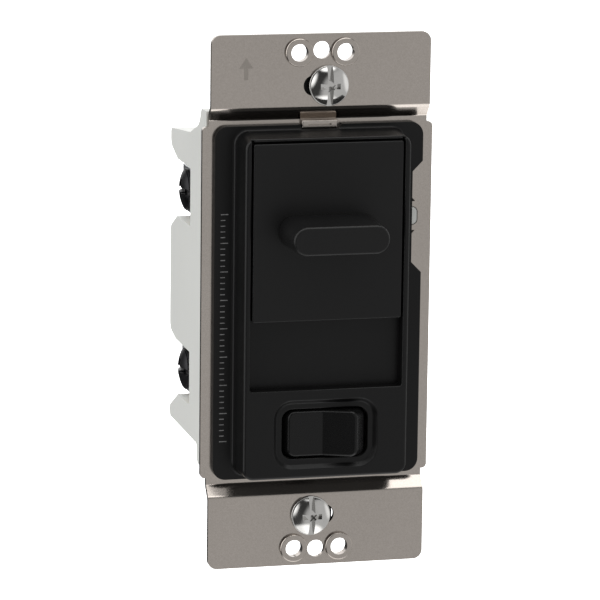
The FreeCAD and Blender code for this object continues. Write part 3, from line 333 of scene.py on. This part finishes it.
def build_threads(materials):
    for end in ("upper", "lower"):
        node = "box_screw_" + end
        name = "screw_thread_" + end
        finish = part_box(node)[1].y - SCREW_TIP
        ridge = thread_ridge(name, middle_of(node), finish - THREAD_LENGTH, finish)
        make_piece(name, ridge, materials["nickel"], body_of(node))


def build_scale():
    """A plain tick scale down the left of the flange, with a longer tick at every fifth step."""
    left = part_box("bezel_frame")[0].x + TICK_INSET
    ticks = []
    for count in range(-TICKS_EACH_WAY, TICKS_EACH_WAY + 1):
        length = TICK_SHORT if count % TICKS_BETWEEN_LONG else TICK_LONG
        level = TICK_MIDDLE + count * TICK_STEP
        ticks.append(bar(left, left + length, level - TICK_HEIGHT / 2, level + TICK_HEIGHT / 2))
    make_piece("flange_scale", thin_plates("flange_scale", ticks, FLANGE_FRONT),
               pad_printed("grey_ink", (0.22, 0.22, 0.22)), body_of("bezel_frame"))


def build_arrow():
    """A small arrow on the upper ear that says which way is up."""
    x, foot, neck, tip = -14.6 * MM, 43.0 * MM, 45.2 * MM, 47.2 * MM
    shaft, wing = 0.4 * MM, 1.35 * MM
    outline = [(x - shaft, foot), (x + shaft, foot), (x + shaft, neck), (x + wing, neck), (x, tip),
               (x - wing, neck), (x - shaft, neck)]
    mark = sheet_metal("stamped_mark", (0.40, 0.365, 0.33), 0.32)
    make_piece("upward_arrow", thin_plates("upward_arrow", [outline], EAR_FRONT), mark,
               body_of("mounting_strap"))


# ---------------------------------------------------------------- studio

# Soft lamps of the studio: name, azimuth and elevation of its middle, half angle and radiance.
# Azimuth 0 is in front of the object and 90 on its right. A lamp is even out to LAMP_CORE of its half angle.
STUDIO_BASE = 0.05
STUDIO_LAMPS = [
    ("front_right_low", 51, -20, 75, 0.52),
    ("left", -85, 20, 50, 1.8),
    ("overhead", 20, 80, 40, 2.2),
    ("behind_high", 165, 28, 45, 1.3),
    ("right", 95, 5, 35, 0.5),
    ("below", 0, -80, 45, 1.2),
]
LAMP_CORE = 0.7
FLOOR_DROP = 0.25
FLOOR_WIDTH = 9.2
BACKDROP_RADIUS = 4.5

VIEW_AZIMUTH = -14.173
VIEW_ELEVATION = 11.513
VIEW_ROLL = 0.696
VIEW_CENTRE = Vector((-3.444, 0.0, 0.377)) * MM
VIEW_DISTANCE = 741.52 * MM
LENS = 233.67


def build_world():
    """A dark room with large soft lamps, which only lights and reflects."""
    world = bpy.data.worlds.new("studio")
    world.use_nodes = True
    tree = world.node_tree
    facing = tree.nodes.new("ShaderNodeTexCoord").outputs["Generated"]
    total = STUDIO_BASE
    for name, azimuth, elevation, spread, radiance in STUDIO_LAMPS:
        side, rise = math.radians(azimuth), math.radians(elevation)
        dot = tree.nodes.new("ShaderNodeVectorMath")
        dot.name = name
        dot.operation = "DOT_PRODUCT"
        dot.inputs[1].default_value = (math.sin(side) * math.cos(rise), -math.cos(side) * math.cos(rise),
                                       math.sin(rise))
        tree.links.new(facing, dot.inputs[0])
        fade = tree.nodes.new("ShaderNodeMapRange")
        fade.interpolation_type = "SMOOTHSTEP"
        fade.inputs["From Min"].default_value = math.cos(math.radians(spread))
        fade.inputs["From Max"].default_value = math.cos(math.radians(spread * LAMP_CORE))
        fade.inputs["To Min"].default_value = 0.0
        fade.inputs["To Max"].default_value = radiance
        tree.links.new(dot.outputs["Value"], fade.inputs["Value"])
        add = tree.nodes.new("ShaderNodeMath")
        if isinstance(total, float):
            add.inputs[0].default_value = total
        else:
            tree.links.new(total, add.inputs[0])
        tree.links.new(fade.outputs["Result"], add.inputs[1])
        total = add.outputs["Value"]
    background = tree.nodes["Background"]
    background.inputs["Color"].default_value = (1.0, 1.0, 1.0, 1.0)
    tree.links.new(total, background.inputs["Strength"])
    bpy.context.scene.world = world


def pale_paint(name):
    shader = Shader(name, Roughness=0.9)
    shader.colour(shader.blend(shader.noise(3.0, 2.0), (0.90, 0.90, 0.90), (0.94, 0.94, 0.94)))
    shader.bsdf.inputs["Emission Color"].default_value = (1.0, 1.0, 1.0, 1.0)
    shader.bsdf.inputs["Emission Strength"].default_value = 1.0
    return shader.material


def seen_only(holder):
    """The floor and the backdrop show behind the object, and the studio's lamps shine through them."""
    for ray in ("diffuse", "glossy", "transmission", "volume_scatter", "shadow"):
        setattr(holder, "visible_" + ray, False)


def build_stage():
    floor_level = cad_box[0][2] - FLOOR_DROP
    bpy.ops.mesh.primitive_plane_add(size=FLOOR_WIDTH, location=(0, 0, floor_level))
    floor = bpy.context.object
    floor.name = "studio_floor"
    floor.data.materials.append(pale_paint("pale_floor"))
    seen_only(floor)
    bpy.ops.mesh.primitive_uv_sphere_add(segments=48, ring_count=24, radius=BACKDROP_RADIUS)
    backdrop = bpy.context.object
    backdrop.name = "studio_backdrop"
    backdrop.data.materials.append(pale_paint("pale_backdrop"))
    seen_only(backdrop)


def build_camera():
    """The viewing angle: a little from the left and from above, with a long lens."""
    azimuth, elevation, roll = (math.radians(angle) for angle in (VIEW_AZIMUTH, VIEW_ELEVATION, VIEW_ROLL))
    back = Vector((math.sin(azimuth) * math.cos(elevation), -math.cos(azimuth) * math.cos(elevation),
                   math.sin(elevation)))
    level = back.cross(Vector((0, 0, 1))).normalized() * -1
    up = back.cross(level)
    right = math.cos(roll) * level + math.sin(roll) * up
    over = -math.sin(roll) * level + math.cos(roll) * up
    eye = bpy.data.cameras.new("photo_view")
    eye.sensor_width = 36.0
    eye.lens = LENS
    eye.clip_start = 0.01
    holder = bpy.data.objects.new("photo_view", eye)
    bpy.context.scene.collection.objects.link(holder)
    place = VIEW_CENTRE + back * VIEW_DISTANCE
    turn = Matrix((right, over, back)).transposed().to_4x4()
    holder.matrix_world = Matrix.Translation(place) @ turn
    bpy.context.scene.camera = holder


bpy.context.scene.view_settings.view_transform = "Standard"
materials = dress_nodes()
build_threads(materials)
build_scale()
build_arrow()
build_stage()
build_world()
build_camera()
